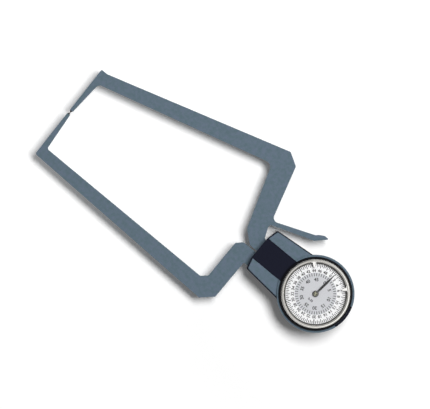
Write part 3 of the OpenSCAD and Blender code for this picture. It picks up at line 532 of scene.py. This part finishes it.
def makeTicks(name, ring):      # one tick at zero, then its copies round the dial
    deselectAll()
    middle = (ring["inner"] + ring["outer"]) / 2 * mm
    bpy.ops.mesh.primitive_cube_add(size=1, location=(0, -middle, dialHigh.z))
    piece = bpy.context.object
    piece.name = name
    piece.scale = (ring["width"] * mm, (ring["outer"] - ring["inner"]) * mm, inkPlan["thick"] * mm)
    settle(piece)
    bpy.ops.object.mode_set(mode="EDIT")
    bpy.ops.mesh.select_all(action="SELECT")
    copies = ring["count"] - 1
    bpy.ops.mesh.spin(steps=copies, dupli=True, angle=fullTurn * copies / ring["count"],
                      center=(0, 0, 0), axis=(0, 0, 1))
    bpy.ops.object.mode_set(mode="OBJECT")
    printOnDial(piece)


def numeralAt(text, angle, radius, size, upright=False):
    deselectAll()
    turn = -math.pi / 2 - math.radians(angle)
    facing = math.pi if upright else turn - math.pi / 2
    bpy.ops.object.text_add(rotation=(0, 0, facing), location=(
        radius * mm * math.cos(turn), radius * mm * math.sin(turn), dialHigh.z))
    piece = bpy.context.object
    piece.data.body = text
    piece.data.size = size * mm
    piece.data.align_x = "CENTER"
    piece.data.align_y = "CENTER"
    piece.data.extrude = inkPlan["thick"] / 2 * mm
    piece.data.offset = inkPlan["bold"] * size * mm
    bpy.ops.object.convert(target="MESH")
    piece = bpy.context.object
    settle(piece)
    return piece


def makeNumerals(name, ring):   # one piece for the whole ring
    numerals = [numeralAt(str(i * ring["step"]), 360 * i / ring["count"], ring["radius"], ring["size"])
                for i in range(ring["count"])]
    deselectAll()
    for piece in numerals:
        piece.select_set(True)
    bpy.context.view_layer.objects.active = numerals[0]
    bpy.ops.object.join()
    numerals[0].name = name
    printOnDial(numerals[0])


def makeRange(plan):            # reads upright with zero at the top
    piece = numeralAt(plan["text"], plan["angle"], plan["radius"], plan["size"], True)
    piece.name = "rangeNumerals"
    printOnDial(piece)


for name, ring in tickRings.items():
    makeTicks(name, ring)
for name, ring in numeralRings.items():
    makeNumerals(name, ring)
makeRange(rangeNumerals)
print("dial printed")


# 1 for rays that see the surroundings straight, in a mirror or through the crystal,
# and 0 once they have met a dull surface
def seenRays(tree):
    path = addNode(tree, "ShaderNodeLightPath", {}, {})
    straight = addNode(tree, "ShaderNodeMath", {"operation": "MAXIMUM"}, {
        0: path.outputs["Is Camera Ray"], 1: path.outputs["Is Glossy Ray"]})
    every = addNode(tree, "ShaderNodeMath", {"operation": "MAXIMUM"}, {
        0: straight.outputs["Value"], 1: path.outputs["Is Transmission Ray"]})
    first = addNode(tree, "ShaderNodeMath", {"operation": "LESS_THAN"}, {
        0: path.outputs["Diffuse Depth"], 1: 0.5})      # between none and one
    seen = addNode(tree, "ShaderNodeMath", {"operation": "MULTIPLY"}, {
        0: every.outputs["Value"], 1: first.outputs["Value"]})
    return seen.outputs["Value"]


# White table: its own light grows with distance, so it keeps shadows near the dial and is white far off
tablePlan = {
    "size": 6,                          # m
    "drop": 0.02,                       # below the flat back, mm
    "tone": "#f8f8f8", "roughness": 0.9,
    "plainTo": 90, "whiteFrom": 900,    # from the dial axis, mm
    "glow": (0.08, 0.75),               # own light at these two distances
}


def makeTable(plan):
    deselectAll()
    bpy.ops.mesh.primitive_plane_add(size=plan["size"], location=(0, 0, -plan["drop"] * mm))
    floor = bpy.context.object
    floor.name = "tableTop"
    settle(floor)
    material, tree, place = startMaterial("whiteTable")
    sheet = addNode(tree, "ShaderNodeBsdfPrincipled", {}, {
        "Base Color": toLinear(plan["tone"]), "Roughness": plan["roughness"], "Specular IOR Level": 0.0})
    radius = addNode(tree, "ShaderNodeVectorMath", {"operation": "LENGTH"}, {0: place})
    far = addNode(tree, "ShaderNodeMapRange", {}, {
        "Value": radius.outputs["Value"],
        "From Min": plan["plainTo"] * mm, "From Max": plan["whiteFrom"] * mm,
        "To Min": plan["glow"][0], "To Max": plan["glow"][1]})
    strength = addNode(tree, "ShaderNodeMath", {"operation": "MULTIPLY"}, {
        0: seenRays(tree), 1: far.outputs["Result"]})
    glow = addNode(tree, "ShaderNodeEmission", {}, {"Strength": strength.outputs["Value"]})
    both = addNode(tree, "ShaderNodeAddShader", {}, {0: sheet.outputs["BSDF"], 1: glow.outputs["Emission"]})
    endMaterial(tree, both.outputs["Shader"])
    floor.data.materials.append(material)


# Pale room: a little even light for dull surfaces, and what bright edges and the crystal mirror
roomPlan = {
    "tone": "#ffffff", "light": 0.1,
    "mirror": [     # from level to overhead
        (0.0, "#4c4c4c"), (0.3, "#808080"), (0.6, "#ffffff"), (0.88, "#ffffff"), (1.0, "#c8c8c8")],
    "paleWall": (-0.99, -0.15, 0),                  # the mirrored room is paler behind the dial
    "wallSpread": 0.9, "wallShare": (0.2, 2.1),     # how bright it is away from that wall and at it
}


def makeRoom(plan):
    world = bpy.data.worlds.new("paleRoom")
    bpy.context.scene.world = world
    world.use_nodes = True
    tree = world.node_tree
    tree.nodes.clear()
    way = addNode(tree, "ShaderNodeTexCoord", {}, {})
    parts = addNode(tree, "ShaderNodeSeparateXYZ", {}, {"Vector": way.outputs["Generated"]})
    bright = addNode(tree, "ShaderNodeValToRGB", {"stops": plan["mirror"]}, {"Fac": parts.outputs["Z"]})
    room = addNode(tree, "ShaderNodeBackground", {}, {
        "Color": toLinear(plan["tone"]), "Strength": plan["light"]})
    wall = addNode(tree, "ShaderNodeVectorMath", {"operation": "DOT_PRODUCT"}, {
        0: way.outputs["Generated"], 1: plan["paleWall"]})
    share = addNode(tree, "ShaderNodeMapRange", {}, {
        "Value": wall.outputs["Value"], "From Min": -plan["wallSpread"], "From Max": plan["wallSpread"],
        "To Min": plan["wallShare"][0], "To Max": plan["wallShare"][1]})
    mirror = addNode(tree, "ShaderNodeBackground", {}, {
        "Color": bright.outputs["Color"], "Strength": share.outputs["Result"]})
    white = addNode(tree, "ShaderNodeBackground", {}, {"Color": toLinear(plan["tone"])})
    path = addNode(tree, "ShaderNodeLightPath", {}, {})
    mixed = addNode(tree, "ShaderNodeMixShader", {}, {
        0: seenRays(tree), 1: room.outputs["Background"], 2: mirror.outputs["Background"]})
    behind = addNode(tree, "ShaderNodeMixShader", {}, {
        0: path.outputs["Is Camera Ray"], 1: mixed.outputs["Shader"], 2: white.outputs["Background"]})
    addNode(tree, "ShaderNodeOutputWorld", {}, {"Surface": behind.outputs["Shader"]})


# One large soft lamp on the lever side
lampPlan = {
    "side": (-0.35, -0.937), "height": 65,      # direction over the table, degrees above it
    "distance": 1.8, "size": (1.45, 0.72),      # m
    "share": 1.02,                              # of the light that makes a white sheet fully white
}


def makeLamp(plan):
    lamp = bpy.data.lights.new("softKey", "AREA")
    lamp.shape = "ELLIPSE"
    lamp.size, lamp.size_y = plan["size"]
    height = math.radians(plan["height"])
    lamp.energy = plan["share"] * math.pi ** 2 * plan["distance"] ** 2 / math.sin(height)
    key = bpy.data.objects.new("softKey", lamp)
    bpy.context.scene.collection.objects.link(key)
    level = Vector((*plan["side"], 0)).normalized() * math.cos(height)
    direction = level + Vector((0, 0, math.sin(height)))
    middle = (cadBox[0] + cadBox[1]) / 2
    key.location = middle + direction * plan["distance"]
    key.rotation_euler = direction.to_track_quat("Z", "Y").to_euler()
    key.visible_glossy = False      # bright edges mirror the room, as in a light tent


makeTable(tablePlan)
makeRoom(roomPlan)
makeLamp(lampPlan)
bpy.context.scene.view_settings.view_transform = "Standard"
print("stage ready")
